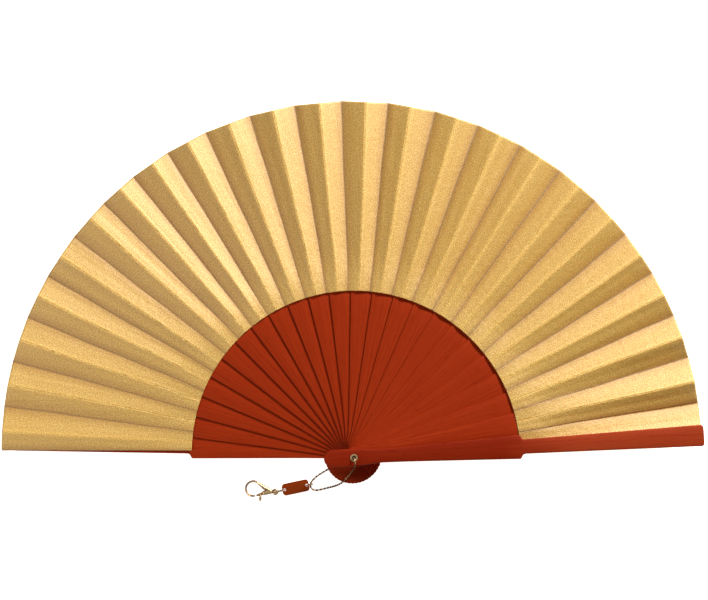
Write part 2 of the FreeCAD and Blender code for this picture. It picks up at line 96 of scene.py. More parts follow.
# Within this distance of the shoulder a slip turns from flat to the lean of its gore.
SLIP_TURNS_WITHIN = 11.0
# A blade thins between these places, under the leaf's inner edge.
THINNED_FROM = 97.6
THINNED_TO = 99.8
THINNED = 0.4
HOLE = 1.8
# The rear guard is hollowed out at the back of its head, where the chain passes under it.
RECESS_FROM = -19.0
RECESS_TO = 24.0
RECESS = 2.0
# A cut reaches this far past what it cuts.
OVERCUT = 1.0

# leaf
# The folds rise evenly from LEAF_INNER outwards, and the cloth itself starts at LEAF_EDGE.
LEAF_INNER = 102.6
LEAF_EDGE = 100.9
LEAF_OUTER = 213.8
LEAF_SHIFT = (-1.6, 2.2)
LEAF_THICK = 0.15
# The middle of the cloth is raised by this much.
CLOTH = 0.1
CLOTH_THICK = 0.12
# Half a fold's height at the inner edge, at most and by the guards, how it grows per stick, and at the rim.
INNER_RISE = 1.95
INNER_RISE_END = 0.1
INNER_RISE_STEP = 0.3
OUTER_RISE = 4.1
# The leaf's end edges lie this far from their guard's middle line, at the inner edge and at the rim.
END_EDGE = (2.2, 6.2)
# The cloth's rim is cut so that it looks round from above: a low fold reaches out a little further.
RIM_HEIGHT = 18.0
RIM_LEVELLING = 0.85
# The folds run ahead of the sticks, in degrees: by the first angle up to stick DRIFT_FROM, and by the second
# from stick DRIFT_TO on.
DRIFT = (0.2, 3.1)
DRIFT_FROM = 5
DRIFT_TO = 9
# The folds are shallower by the rear guard and deeper by the front guard, as shares of the usual height.
RISE_SHARES = (0.62, 1.14)
# Near its inner edge the leaf is flatter, and it lies on the blades.
EDGE_REACH = 26.0
EDGE_FLATTENING = 0.55
EDGE_LIFT = 0.85

# camera
CAMERA_HEIGHT = 720.0
CAMERA_Y = 95.2
LENS = 58.561
SENSOR = 36.0


def stick_angle(i):
    return math.radians(REAR_ANGLE - i * STEP)


def layer_base(i):
    """The underside of stick i."""
    return 0.0 if i == 0 else GUARD_THICK + GAP + (i - 1) * LAYER


LEAF_FLOOR = GUARD_THICK + GAP
LEAF_CEILING = layer_base(FRONT) - GAP - LEAF_THICK


def inner_rise(i):
    """Half a fold's height at the leaf's inner edge, which is less for the sticks near either guard."""
    steps = max(0, min(i, FRONT - i) - 1)
    return min(INNER_RISE, INNER_RISE_END + INNER_RISE_STEP * steps)


def inner_level(i):
    """The mean height of stick i's folds at the leaf's inner edge."""
    if i == 0:
        return LEAF_FLOOR + INNER_RISE_END
    if i == FRONT:
        return LEAF_CEILING - INNER_RISE_END
    return layer_base(i) + RIB_THICK / 2


def outer_level(i):
    """The mean height of stick i's folds at the leaf's rim."""
    room = LEAF_CEILING - LEAF_FLOOR - 2 * OUTER_RISE
    return LEAF_FLOOR + OUTER_RISE + i * room / FRONT


def outer_radius(i):
    """How far the rim is from the rivet at stick i: its centre lies a little off the rivet."""
    turn = stick_angle(i)
    return LEAF_OUTER + LEAF_SHIFT[0] * math.cos(turn) + LEAF_SHIFT[1] * math.sin(turn)


def ease(t):
    """A smooth step from 0 to 1."""
    t = min(1.0, max(0.0, t))
    return t * t * (3 - 2 * t)


def mix(a, b, t):
    return a + (b - a) * t


def leaf_level(i, radius):
    """The mean height and half the fold's height of stick i's gore at a radius."""
    share = (radius - LEAF_INNER) / (outer_radius(i) - LEAF_INNER)
    level = mix(inner_level(i), outer_level(i), share)
    rise = mix(inner_rise(i), OUTER_RISE * mix(*RISE_SHARES, i / FRONT), share)
    return level, rise


# ---- materials ----------------------------------------------------------------------------------


def new_material(name):
    material = bpy.data.materials.new(name)
    material.use_nodes = True
    tree = material.node_tree
    shader = tree.nodes["Principled BSDF"]
    return material, tree, shader


def add(tree, kind, **settings):
    node = tree.nodes.new(kind)
    for key, value in settings.items():
        setattr(node, key, value)
    return node


def uv_coordinates(tree, scale):
    """The piece's own flat coordinates in metres, stretched."""
    uv = add(tree, "ShaderNodeUVMap", uv_map="flat")
    mapping = add(tree, "ShaderNodeMapping")
    mapping.inputs["Scale"].default_value = scale
    tree.links.new(uv.outputs["UV"], mapping.inputs["Vector"])
    return mapping.outputs["Vector"]


def noise(tree, vector, scale, detail=3.0, roughness=0.55):
    node = add(tree, "ShaderNodeTexNoise")
    node.inputs["Scale"].default_value = scale
    node.inputs["Detail"].default_value = detail
    node.inputs["Roughness"].default_value = roughness
    tree.links.new(vector, node.inputs["Vector"])
    return node.outputs["Fac"]


def ramp(tree, factor, stops):
    node = add(tree, "ShaderNodeValToRGB")
    band = node.color_ramp
    while len(band.elements) < len(stops):
        band.elements.new(0.5)
    for element, (place, colour) in zip(band.elements, stops):
        element.position = place
        element.color = (*colour, 1.0)
    tree.links.new(factor, node.inputs["Fac"])
    return node.outputs["Color"]


def spread(tree, factor, low, high):
    """A factor of 0 to 1, mapped to a range."""
    node = add(tree, "ShaderNodeMapRange")
    node.inputs["To Min"].default_value = low
    node.inputs["To Max"].default_value = high
    tree.links.new(factor, node.inputs["Value"])
    return node.outputs["Result"]


def bump(tree, height, strength, distance, normal=None):
    node = add(tree, "ShaderNodeBump")
    node.inputs["Strength"].default_value = strength
    node.inputs["Distance"].default_value = distance
    tree.links.new(height, node.inputs["Height"])
    if normal is not None:
        tree.links.new(normal, node.inputs["Normal"])
    return node.outputs["Normal"]


def mix_colour(tree, factor, a, b, blend="MIX"):
    node = add(tree, "ShaderNodeMix", data_type="RGBA", blend_type=blend)
    if isinstance(factor, float):
        node.inputs["Factor"].default_value = factor
    else:
        tree.links.new(factor, node.inputs["Factor"])
    for socket, value in ((node.inputs[6], a), (node.inputs[7], b)):
        if isinstance(value, tuple):
            socket.default_value = (*value, 1.0)
        else:
            tree.links.new(value, socket)
    return node.outputs[2]


FABRIC_DARK = (0.46, 0.19, 0.015)
FABRIC_MIDDLE = (0.77, 0.425, 0.054)
FABRIC_BRIGHT = (0.97, 0.84, 0.300)


def gold_fabric():
    """Woven metallic thread: a fine sparkling grain, with painted highlights on the crests and painted shade
    in the valleys.
    """
    material, tree, shader = new_material("gold_lame")
    weave = noise(tree, uv_coordinates(tree, (1300.0, 1700.0, 1.0)), 1.0, 3.0, 0.7)
    speck = noise(tree, uv_coordinates(tree, (2600.0, 2600.0, 1.0)), 1.0, 1.0)
    blotch = noise(tree, uv_coordinates(tree, (70.0, 150.0, 1.0)), 1.0, 3.0)
    streak = noise(tree, uv_coordinates(tree, (11.0, 330.0, 1.0)), 1.0, 3.0)
    base = ramp(tree, weave, [(0.36, FABRIC_DARK), (0.5, FABRIC_MIDDLE), (0.62, FABRIC_BRIGHT)])
    soft = mix_colour(tree, spread(tree, blotch, 0.0, 0.4), base, FABRIC_MIDDLE)
    # The "fold" coordinates go from 0 in a valley to 1 on a crest.
    crest = add(tree, "ShaderNodeSeparateXYZ")
    tree.links.new(add(tree, "ShaderNodeUVMap", uv_map="fold").outputs["UV"], crest.inputs["Vector"])
    # Painted shade darkens the valleys, and a painted highlight brightens the crests.
    valley_shade_crest_highlight = ramp(tree, crest.outputs["X"], [
        (0.0, (0.36, 0.28, 0.18)), (0.07, (0.66, 0.58, 0.46)), (0.40, (0.84, 0.82, 0.77)),
        (0.80, (0.86, 0.85, 0.82)), (0.95, (1.0, 1.0, 1.0)),
    ])
    tree.links.new(mix_colour(tree, 1.0, soft, valley_shade_crest_highlight, "MULTIPLY"), shader.inputs["Base Color"])
    shader.inputs["Metallic"].default_value = 0.15
    shader.inputs["Specular IOR Level"].default_value = 1.0
    shader.inputs["IOR"].default_value = 1.7
    tree.links.new(spread(tree, speck, 0.55, 0.74), shader.inputs["Roughness"])
    rough = bump(tree, weave, 0.5, 0.00015)
    folds = bump(tree, streak, 0.45, 0.0006, rough)
    tree.links.new(folds, shader.inputs["Normal"])
    return material


# The front guard's wood is painted lighter, a painted sheen that stands in for a hazy reflection on its
# slip. Up to the first distance from the rivet the painted sheen is dimmed, and it comes in over the next,
# in metres.
PAINTED_SHEEN_FROM = 0.09
PAINTED_SHEEN_FADE_IN = 0.04


def stained_wood(name, dark, middle, light, sheen_dimming=None):
    """Fine straight grain along the stick and small dark pores, dimmed near the rivet by any given tint,
    leaving a painted sheen further out.
    """
    material, tree, shader = new_material(name)
    fibre = noise(tree, uv_coordinates(tree, (22.0, 900.0, 1.0)), 1.0, 4.0)
    band = noise(tree, uv_coordinates(tree, (9.0, 160.0, 1.0)), 1.0, 3.0)
    pore = noise(tree, uv_coordinates(tree, (160.0, 2200.0, 1.0)), 1.0, 2.0)
    base = ramp(tree, fibre, [(0.25, dark), (0.5, middle), (0.75, light)])
    toned = mix_colour(tree, spread(tree, band, 0.0, 0.75), base, middle)
    pores = ramp(tree, pore, [(0.30, (0.45, 0.35, 0.35)), (0.42, (1.0, 1.0, 1.0))])
    marked = mix_colour(tree, 0.5, toned, pores, "MULTIPLY")
    if sheen_dimming is not None:
        # Painted sheen: the wood stays light past the rivet's end, and near the rivet it is dimmed by the
        # given tint.
        place = add(tree, "ShaderNodeSeparateXYZ")
        tree.links.new(add(tree, "ShaderNodeTexCoord").outputs["Object"], place.inputs["Vector"])
        full_painted_sheen = (PAINTED_SHEEN_FROM + PAINTED_SHEEN_FADE_IN, (1.0, 1.0, 1.0))
        along = ramp(tree, place.outputs["X"], [(PAINTED_SHEEN_FROM, sheen_dimming), full_painted_sheen])
        marked = mix_colour(tree, 1.0, marked, along, "MULTIPLY")
    tree.links.new(marked, shader.inputs["Base Color"])
    tree.links.new(spread(tree, fibre, 0.52, 0.66), shader.inputs["Roughness"])
    tree.links.new(bump(tree, fibre, 0.25, 0.0001), shader.inputs["Normal"])
    shader.inputs["Specular IOR Level"].default_value = 0.1
    return material


def gold_metal(name, dull, bright):
    """Pale gold plating with faint wear, and painted shade that darkens it where its surface turns away from
    the camera.
    """
    material, tree, shader = new_material(name)
    place = add(tree, "ShaderNodeTexCoord").outputs["Object"]
    cloud = noise(tree, place, 900.0, 3.0)
    base = ramp(tree, cloud, [(0.35, dull), (0.65, bright)])
    # Painted shade: the colour is darkened where the surface turns away from the camera.
    facing = add(tree, "ShaderNodeLayerWeight")
    facing.inputs["Blend"].default_value = 0.5
    painted_turn_shade = ramp(tree, facing.outputs["Facing"], [
        (0.04, (1.0, 1.0, 1.0)), (0.16, (0.60, 0.48, 0.34)), (0.30, (0.12, 0.065, 0.035)),
    ])
    shader.inputs["Specular Tint"].default_value = (0.20, 0.11, 0.05, 1.0)
    tree.links.new(mix_colour(tree, 1.0, base, painted_turn_shade, "MULTIPLY"), shader.inputs["Base Color"])
    shader.inputs["Metallic"].default_value = 0.8
    tree.links.new(spread(tree, cloud, 0.26, 0.42), shader.inputs["Roughness"])
    return material


WOOD = stained_wood(
    "red_stained_wood",
    dark=(0.245, 0.015, 0.001), middle=(0.31, 0.024, 0.002), light=(0.365, 0.035, 0.003),
)
# Lighter than the ribs' wood: a painted sheen, a hazy reflection on the slip, dimmed near the rivet.
GUARD_WOOD = stained_wood(
    "guard_wood",
    dark=(0.27, 0.024, 0.005), middle=(0.34, 0.040, 0.010), light=(0.42, 0.062, 0.018),
    sheen_dimming=(0.66, 0.34, 0.10),
)
TAG_WOOD = stained_wood(
    "tag_wood",
    dark=(0.15, 0.018, 0.001), middle=(0.23, 0.032, 0.002), light=(0.30, 0.052, 0.003),
)
FABRIC = gold_fabric()
METAL = gold_metal("gold_plating", dull=(0.75, 0.50, 0.26), bright=(1.00, 0.80, 0.52))
CHAIN_METAL = gold_metal("chain_plating", dull=(0.26, 0.14, 0.08), bright=(0.95, 0.70, 0.46))


# ---- mesh helpers -------------------------------------------------------------------------------

SHARP_FROM = math.radians(40)
HOLE_SIDES = 32


def made_mesh(name, shape):
    """A mesh from a bmesh, which is freed."""
    mesh = bpy.data.meshes.new(name)
    shape.to_mesh(mesh)
    shape.free()
    return mesh


def new_piece(name, mesh, material):
    piece = bpy.data.objects.new(name, mesh)
    bpy.context.scene.collection.objects.link(piece)
    mesh.materials.append(material)
    return piece


def placed(i, x, y, z):
    """A point in stick i's own frame, in metres of the row frame."""
    turn = stick_angle(i)
    return Vector((
        (x * math.cos(turn) - y * math.sin(turn)) * MM,
        (x * math.sin(turn) + y * math.cos(turn)) * MM,
        z * MM,
    ))


def cut_from(piece, shape):
    """Cut a bmesh out of a piece for good, and leave the piece's sharp edges sharp."""
    cutter = bpy.data.objects.new("cutter", made_mesh("cutter", shape))
    bpy.context.scene.collection.objects.link(cutter)
    modifier = piece.modifiers.new("cut", "BOOLEAN")
    modifier.operation = "DIFFERENCE"
    modifier.solver = "EXACT"
    modifier.object = cutter
    bpy.context.view_layer.update()
    graph = bpy.context.evaluated_depsgraph_get()
    mesh = bpy.data.meshes.new_from_object(piece.evaluated_get(graph))
    mesh.name = piece.data.name
    mesh.set_sharp_from_angle(angle=SHARP_FROM)
    piece.modifiers.clear()
    piece.data = mesh
    bpy.data.objects.remove(cutter)


def hole(low, high):
    """The rivet's hole through a stick that lies between two levels."""
    shape = bmesh.new()
    middle = Matrix.Translation((0, 0, (low + high) / 2 * MM))
    bmesh.ops.create_cone(shape, cap_ends=True, segments=HOLE_SIDES, radius1=HOLE * MM, radius2=HOLE * MM,
                          depth=(high - low + 2 * OVERCUT) * MM, matrix=middle)
    return shape


# ---- sticks -------------------------------------------------------------------------------------

# Every stick is cut from another place in the grain, this far on in metres.
GRAIN_SHIFT = (0.37, 0.11)
# The guard's notch, as (distance past its start, half width).
NOTCH = [
    (0.4, SHOULDER / 2 - 0.25), (0.9, SHOULDER / 2 - 0.9), (1.5, GUARD_SLIP / 2 + 0.9),
    (2.2, GUARD_SLIP / 2 + 0.25), (3.2, GUARD_SLIP / 2),
]


def blade_width(x, tail, roundness=2.0):
    """Half a stick's width at x, from its tail to its shoulder.  A roundness of 2 makes a half circle."""
    half = HEAD / 2
    centre = half - tail
    if x < centre:
        reach = min(1.0, (centre - x) / half)
        return half * (1 - reach ** roundness) ** (1 / roundness)
    if x < NECK_START:
        return mix(half, NECK / 2, ease((x - HEAD_END) / (NECK_START - HEAD_END)))
    if x < NECK_END:
        return mix(NECK, NECK_END_WIDTH, ease((x - NECK_START) / (NECK_END - NECK_START))) / 2
    share = (x - NECK_END) / (SHOULDER_AT - NECK_END)
    return mix(NECK_END_WIDTH, SHOULDER, share) / 2


def round_start(tail):
    """Places along the tail's rounded end, closer together towards its tip."""
    half = HEAD / 2
    centre = half - tail
    return [centre - half * math.cos(math.radians(a)) for a in range(4, 90, 9)]


def section(half, thick, edge, crown):
    """A rounded bar across a stick, as (y, z) about its underside, anticlockwise from the right.

    A thin or narrow bar has its edges rounded less.
    """
    edge = min(edge, thick * 0.45, half * 0.6)
    points = []
    for corner, (sy, top) in enumerate(((1, False), (1, True), (-1, True), (-1, False))):
        cy = sy * (half - edge)
        cz = thick - edge if top else edge
        for step in range(4):
            a = math.radians(-90 + 90 * corner + 30 * step)
            points.append((cy + edge * math.cos(a), cz + edge * math.sin(a)))
        if corner == 1 and crown:
            points += [(half * s, thick) for s in (0.5, 0.0, -0.5)]
    if crown:
        points = [(y, z - crown * (y / half) ** 2 if z > thick / 2 else z) for y, z in points]
    return points


def sweep(name, i, stations, edge, crown=0.0):
    """A stick from stations of (x, half width, underside, thickness, lean)."""
    shape = bmesh.new()
    uv = shape.loops.layers.uv.new("flat")
    rings = []
    flat = {}
    for x, half, base, thick, lean in stations:
        ring = []
        for y, z in section(half, thick, edge, crown):
            vertex = shape.verts.new(placed(i, x, y, base + z - lean * y))
            flat[vertex] = (x * MM + GRAIN_SHIFT[0] * i, (y + z) * MM + GRAIN_SHIFT[1] * i)
            ring.append(vertex)
        rings.append(ring)
    count = len(rings[0])
    for a, b in zip(rings, rings[1:]):
        for n in range(count):
            shape.faces.new((a[n], b[n], b[(n + 1) % count], a[(n + 1) % count]))
    shape.faces.new(rings[0])
    shape.faces.new(list(reversed(rings[-1])))
    bmesh.ops.recalc_face_normals(shape, faces=shape.faces)
    for face in shape.faces:
        face.smooth = True
        for loop in face.loops:
            loop[uv].uv = flat[loop.vert]
    return made_mesh(name, shape)


def spaced(start, stop, step):
    """Evenly spaced places from start to stop, about a step apart."""
    count = max(1, round((stop - start) / step))
    return [start + (stop - start) * n / count for n in range(count + 1)]


def round_corner(end, half, angles):
    """Stations (x, half width) round the corners of an end, from the side towards the end."""
    found = []
    for angle in angles:
        a = math.radians(angle)
        found.append((end - CORNER + CORNER * math.sin(a), half - CORNER + CORNER * math.cos(a)))
    return found


def slip_station(i, x):
    """A station of stick i's thin slip, which leans with its gore behind the leaf."""
    share = ease((x - SHOULDER_AT) / SLIP_TURNS_WITHIN)
    half = mix(SLIP, SLIP_TIP, (x - SHOULDER_AT) / (SLIP_END - SHOULDER_AT)) / 2
    left, right = (leaf_height(i, x, y) for y in (half, -half))
    lean = (right - left) / (2 * half) * share
    top = mix(layer_base(i) + SLIP_THICK, (left + right) / 2 - SLIP_GAP, share)
    return (x, half, top - SLIP_THICK, SLIP_THICK, lean)


def rib(i):
    """A flat blade with a thinned end, then its slip."""
    base = layer_base(i)
    stations = []
    for x in round_start(RIB_TAIL) + spaced(HEAD / 2 - RIB_TAIL, THINNED_FROM, 6.0):
        stations.append((x, blade_width(x, RIB_TAIL, RIB_ROUNDNESS), base, RIB_THICK, 0.0))
    stations.append((THINNED_TO, blade_width(THINNED_TO, RIB_TAIL), base, THINNED, 0.0))
    for x, half in round_corner(SHOULDER_AT, SHOULDER / 2, (30, 60, 80)):
        stations.append((x, half, base, THINNED, 0.0))
    for x in [SHOULDER_AT + 0.1] + spaced(SHOULDER_AT + 1.0, SLIP_END, 4.5):
        stations.append(slip_station(i, x))
    name = f"rib_stick_{i:02d}"
    piece = new_piece(name, sweep(name, i, stations, RIB_EDGE), WOOD)
    cut_from(piece, hole(base, base + RIB_THICK))
    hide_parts(f"rib_{i:02d}")
    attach(piece, f"rib_{i:02d}")


def guard(node, i, material, crown, cuts=()):
    """A thick end stick with a slip nearly as wide as its blade, notched in at the shoulder."""
    outline = []
    for x in round_start(GUARD_TAIL) + spaced(HEAD / 2 - GUARD_TAIL, GUARD_NOTCH_FROM, 5.0):
        outline.append((x, blade_width(x, GUARD_TAIL)))
    outline += [(GUARD_NOTCH_FROM + past, half) for past, half in NOTCH]
    for x in spaced(GUARD_SLIP_FROM, GUARD_TIP_AT - CORNER, 6.0):
        share = (x - GUARD_SLIP_FROM) / (GUARD_TIP_AT - GUARD_SLIP_FROM)
        outline.append((x, mix(GUARD_SLIP, GUARD_TIP, share) / 2))
    outline += round_corner(GUARD_TIP_AT, GUARD_TIP / 2, (25, 50, 70, 86))
    base = layer_base(i)
    stations = [(x, half, base, GUARD_THICK, 0.0) for x, half in outline]
    name = f"{node}_stick"
    piece = new_piece(name, sweep(name, i, stations, GUARD_EDGE, crown), material)
    for shape in (hole(base, base + GUARD_THICK), *cuts):
        cut_from(piece, shape)
    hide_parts(node)
    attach(piece, node)


def recess():
    """The room behind the rear guard's head."""
    shape = bmesh.new()
    bmesh.ops.create_cube(shape, size=1.0)
    for vertex in shape.verts:
        x = mix(RECESS_FROM, RECESS_TO, vertex.co.x + 0.5)
        y = vertex.co.y * (SHOULDER + 2 * OVERCUT)
        z = mix(-OVERCUT, RECESS, vertex.co.z + 0.5)
        vertex.co = placed(0, x, y, z)
    return shape


def sticks():
    guard("rear_guard", 0, WOOD, 0.0, [recess()])
    for i in range(1, FRONT):
        rib(i)
    guard("front_guard", FRONT, GUARD_WOOD, GUARD_CROWN)


# ---- leaf ---------------------------------------------------------------------------------------

LEAF_ROWS = 34
# Above 1, the rows lie closer together towards the inner edge.
ROW_BUNCHING = 1.25
VALLEY = -1
MOUNTAIN = 1
EDGE = 0
# Every fold line leans and waves a little, in millimetres and radians along the fold.
FOLD_LEAN = 0.7
WAVES_ACROSS = ((0.16, 7.0), (0.07, 19.0))
WAVES_UP = ((0.16, 6.0), (0.06, 23.0))
# These are the shares of the waves and the sags that are left at the inner edge.
INNER_WAVE = 0.3
INNER_SAG = 0.25


def fold_turn(i, side):
    """The angle at which stick i's valley or mountain fold runs."""
    drift = mix(*DRIFT, ease((i - DRIFT_FROM) / (DRIFT_TO - DRIFT_FROM)))
    return stick_angle(i) + math.radians(drift) - side * math.radians(HALF_GORE)


def waves(sizes, phases, share):
    return sum(height * math.sin(run * share + phase) for (height, run), phase in zip(sizes, phases))


def fold_wave(i, side, share):
    """A small unevenness along one fold line."""
    draw = random.Random(97 * i + 7 * side + 3)
    phases = [draw.uniform(0, 2 * math.pi) for _ in WAVES_ACROSS + WAVES_UP]
    lean = draw.uniform(-FOLD_LEAN, FOLD_LEAN)
    across = lean * share + waves(WAVES_ACROSS, phases[:2], share)
    up = waves(WAVES_UP, phases[2:], share) * mix(INNER_WAVE, 1.0, share)
    return across, up


def fold_point(i, side, share):
    """A point on stick i's valley or mountain fold, from the leaf's inner edge (0) to its rim (1).

    The leaf's two end edges lie on the rear guard and under the front guard.
    """
    radius = mix(LEAF_EDGE, outer_radius(i), share)
    level, rise = leaf_level(i, radius)
    across, up = fold_wave(i, side, share)
    if side == EDGE:
        first = i == 0
        turn = stick_angle(i) + (1 if first else -1) * mix(*END_EDGE, share) / radius
        height = level - rise if first else level
        across = up = 0.0
    else:
        turn = fold_turn(i, side)
        height = level + side * rise
    near = 1 - ease((radius - LEAF_EDGE) / EDGE_REACH)
    height = mix(height, level, EDGE_FLATTENING * near) + EDGE_LIFT * near + CLOTH + up
    height = min(max(height, LEAF_FLOOR + CLOTH), LEAF_CEILING)
    turn += across / radius
    radius *= 1 + share * RIM_LEVELLING * (RIM_HEIGHT - height) / CAMERA_HEIGHT
    return Vector((radius * math.cos(turn), radius * math.sin(turn), height)) * MM


def leaf_height(i, x, y):
    """The mean height of the leaf's middle layer over a point in stick i's own frame."""
    radius = math.hypot(x, y)
    turn = stick_angle(i) + math.atan2(y, x)
    folds = []
    for n, side in ((i - 1, MOUNTAIN), (i, VALLEY), (i, MOUNTAIN), (i + 1, VALLEY)):
        level, rise = leaf_level(n, radius)
        folds.append((fold_turn(n, side), level + side * rise))
    for (before, high), (after, low) in zip(folds, folds[1:]):
        if after <= turn <= before:
            return mix(high, low, (before - turn) / (before - after))
    return folds[0][1] if turn > folds[0][0] else folds[-1][1]


# Where the lines between two folds run across a gore, and how far each lies off the flat gore at the rim.
GORE_LINES = (0.26, 0.5, 0.74)
STEPS = (0.0, *GORE_LINES)
SAG = 0.35
# The last gore has a wrinkle that runs along it beside the front guard.
LAST_SAGS = [(0.45, -0.25, -0.60), (0.0, 0.0, 0.0)]
# Each piece of the leaf has its own stretch of weave, this far on in metres.
WEAVE_SHIFT = 0.07


def gore_lines(a, b, share, sags):
    """Points across a gore, a little above or below it at right angles."""
    across = b - a
    normal = Vector((-a.x, -a.y, 0)).normalized().cross(across).normalized()
    if normal.z < 0:
        normal = -normal
    reach = MM * mix(INNER_SAG, 1.0, share)
    return [a.lerp(b, part) + normal * sag * reach for part, sag in zip(GORE_LINES, sags)]


def leaf_piece(name, lines, sags, offset):
    """A strip of leaf over several fold lines, with lines between each two that round the gores."""
    shape = bmesh.new()
    uv = shape.loops.layers.uv.new("flat")
    fold = shape.loops.layers.uv.new("fold")
    crease = shape.edges.layers.float.new("crease_edge")
    grid = []
    flat = {}
    nearness = {}
    highs = [max(0.0, side) for _, side in lines]
    for row in range(LEAF_ROWS + 1):
        share = (row / LEAF_ROWS) ** ROW_BUNCHING
        folds = [fold_point(i, side, share) for i, side in lines]
        points = [folds[0]]
        for n in range(len(folds) - 1):
            points += gore_lines(folds[n], folds[n + 1], share, sags[n]) + [folds[n + 1]]
        line = []
        walked = offset
        for point in points:
            if line:
                walked += (point - line[-1].co).length
            vertex = shape.verts.new(point)
            flat[vertex] = (mix(LEAF_EDGE, LEAF_OUTER, share) * MM, walked)
            before, part = divmod(len(line), len(STEPS))
            after = min(before + 1, len(highs) - 1)
            nearness[vertex] = (mix(highs[before], highs[after], STEPS[part]), share)
            line.append(vertex)
        grid.append(line)
    for a, b in zip(grid, grid[1:]):
        for n in range(len(a) - 1):
            face = shape.faces.new((a[n], b[n], b[n + 1], a[n + 1]))
            face.smooth = True
            for loop in face.loops:
                loop[uv].uv = flat[loop.vert]
                loop[fold].uv = nearness[loop.vert]
        for n in range(0, len(a), len(STEPS)):
            shape.edges.get((a[n], b[n]))[crease] = 1.0
    for line in (grid[0], grid[-1]):
        for a, b in zip(line, line[1:]):
            shape.edges.get((a, b))[crease] = 1.0
    bmesh.ops.recalc_face_normals(shape, faces=shape.faces)
    if sum(face.normal.z for face in shape.faces) < 0:
        bmesh.ops.reverse_faces(shape, faces=shape.faces)
    return new_piece(name, made_mesh(name, shape), FABRIC)


CRINKLE_HEIGHT = 0.25
CRINKLE = bpy.data.textures.new("crinkle", "CLOUDS")
CRINKLE.noise_scale = 6 * MM
CRINKLE.noise_depth = 2


def finish_leaf(piece):
    """Round the gores between their folds, crinkle them, and give the cloth its thickness."""
    smooth = piece.modifiers.new("smooth", "SUBSURF")
    smooth.levels = 2
    smooth.render_levels = 2
    crinkle = piece.modifiers.new("crinkle", "DISPLACE")
    crinkle.texture = CRINKLE
    crinkle.texture_coords = "UV"
    crinkle.uv_layer = "flat"
    crinkle.mid_level = 0.5
    crinkle.strength = CRINKLE_HEIGHT * MM
    solid = piece.modifiers.new("cloth", "SOLIDIFY")
    solid.thickness = CLOTH_THICK * MM
    solid.offset = 0.0


def stick_body(i):
    """The name of stick i's body, which is also its node's."""
    if i == 0:
        return "rear_guard"
    return "front_guard" if i == FRONT else f"rib_{i:02d}"


def random_sags(draw):
    """How far the lines across one gore lie off it: the middle one hangs down more often than not."""
    middle = draw.uniform(-0.45, SAG)
    return (draw.uniform(-SAG, SAG), middle, draw.uniform(-SAG, SAG))


def give_between(piece):
    """Bake the piece's place into its mesh; the piece goes with no stick."""
    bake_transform(piece)


def pleat(i):
    """The leaf from stick i's mountain fold to the next one's, with the next stick's valley fold between.

    Every piece but the last is baked in place and goes with no stick, and the last goes with stick i.
    The last of these pieces ends at the front guard's valley fold.
    """
    draw = random.Random(500 + i)
    lines = [(i, MOUNTAIN), (i + 1, VALLEY), (i + 1, MOUNTAIN)]
    if i == 0:
        lines.insert(0, (0, EDGE))
    if i + 1 == FRONT:
        lines.pop()
    sags = [random_sags(draw) for _ in lines[1:]]
    piece = leaf_piece(f"leaf_{i + 1:02d}", lines, sags, WEAVE_SHIFT * i)
    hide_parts(f"leaf_pleat_{i + 1:02d}")
    if i + 1 == FRONT:
        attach(piece, stick_body(i))
    else:
        give_between(piece)
    finish_leaf(piece)


def leaf():
    """A piece from each stick's crest to the next, and the last gore by the front guard."""
    for i in range(FRONT):
        pleat(i)
    lines = [(FRONT, VALLEY), (FRONT, MOUNTAIN), (FRONT, EDGE)]
    last = leaf_piece("leaf_last_gore", lines, LAST_SAGS, WEAVE_SHIFT * FRONT)
    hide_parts("leaf_end")
    give_between(last)
    finish_leaf(last)


# ---- chain --------------------------------------------------------------------------------------

CHAIN_WIDTH = 1.3
CHAIN_ROUTE = [
    (0.0, 0.0, 25.9), (0.5, -1.2, 27.4), (0.9, -3.6, 26.9), (0.2, -6.2, 24.9), (-1.6, -9.2, 21.4),
    (-4.0, -12.6, 19.4), (-6.9, -16.0, 18.0), (-10.0, -18.4, 13.0), (-12.7, -20.3, 6.6), (-15.9, -21.8, 1.8),
    (-19.9, -23.0, 0.7), (-23.8, -23.8, 0.7), (-26.6, -22.8, 0.9), (-27.4, -19.9, 1.35), (-25.9, -17.2, 0.9),
    (-22.8, -14.4, 0.7), (-18.6, -11.9, 0.7), (-13.2, -8.6, 0.7), (-8.0, -5.6, 0.7), (-3.9, -3.0, 0.7),
    (-0.8, -0.65, 0.68), (0.0, 0.0, 1.85),
]
LINK_PITCH = 1.25
LINK_WIRE = 0.33
LINK_LENGTH = 1.42 * LINK_PITCH
LINK_WIDTH = CHAIN_WIDTH - 2 * LINK_WIRE
# A link has this many pieces of wire round it, and the wire this many sides.
LINK_SIDES = 14
WIRE_SIDES = 6
# The first link is turned by this, in degrees.
FIRST_TWIST = 15
# A line steeper than this has no level direction of its own.
UPRIGHT = 0.2


def smooth_route(points):
    """The points along the NURBS line through a route."""
    curve = bpy.data.curves.new("route", "CURVE")
    curve.dimensions = "3D"
    curve.resolution_u = 12
    spline = curve.splines.new("NURBS")
    spline.points.add(len(points) - 1)
    for point, place in zip(spline.points, points):
        point.co = (*[c * MM for c in place], 1.0)
    spline.order_u = 3
    spline.use_endpoint_u = True
    holder = bpy.data.objects.new("route", curve)
    bpy.context.scene.collection.objects.link(holder)
    bpy.context.view_layer.update()
    mesh = bpy.data.meshes.new_from_object(holder)
    line = [vertex.co.copy() for vertex in mesh.vertices]
    bpy.data.objects.remove(holder)
    return line


def evenly(line, pitch):
    """Points about one pitch apart along a line, each with its direction, and the line's length."""
    total = sum((b - a).length for a, b in zip(line, line[1:]))
    count = round(total / pitch)
    step = total / count
    found = []
    walked = 0.0
    due = step / 2
    for a, b in zip(line, line[1:]):
        run = (b - a).length
        while due <= walked + run and len(found) < count:
            found.append((a.lerp(b, (due - walked) / run), (b - a).normalized()))
            due += step
        walked += run
    return found, total


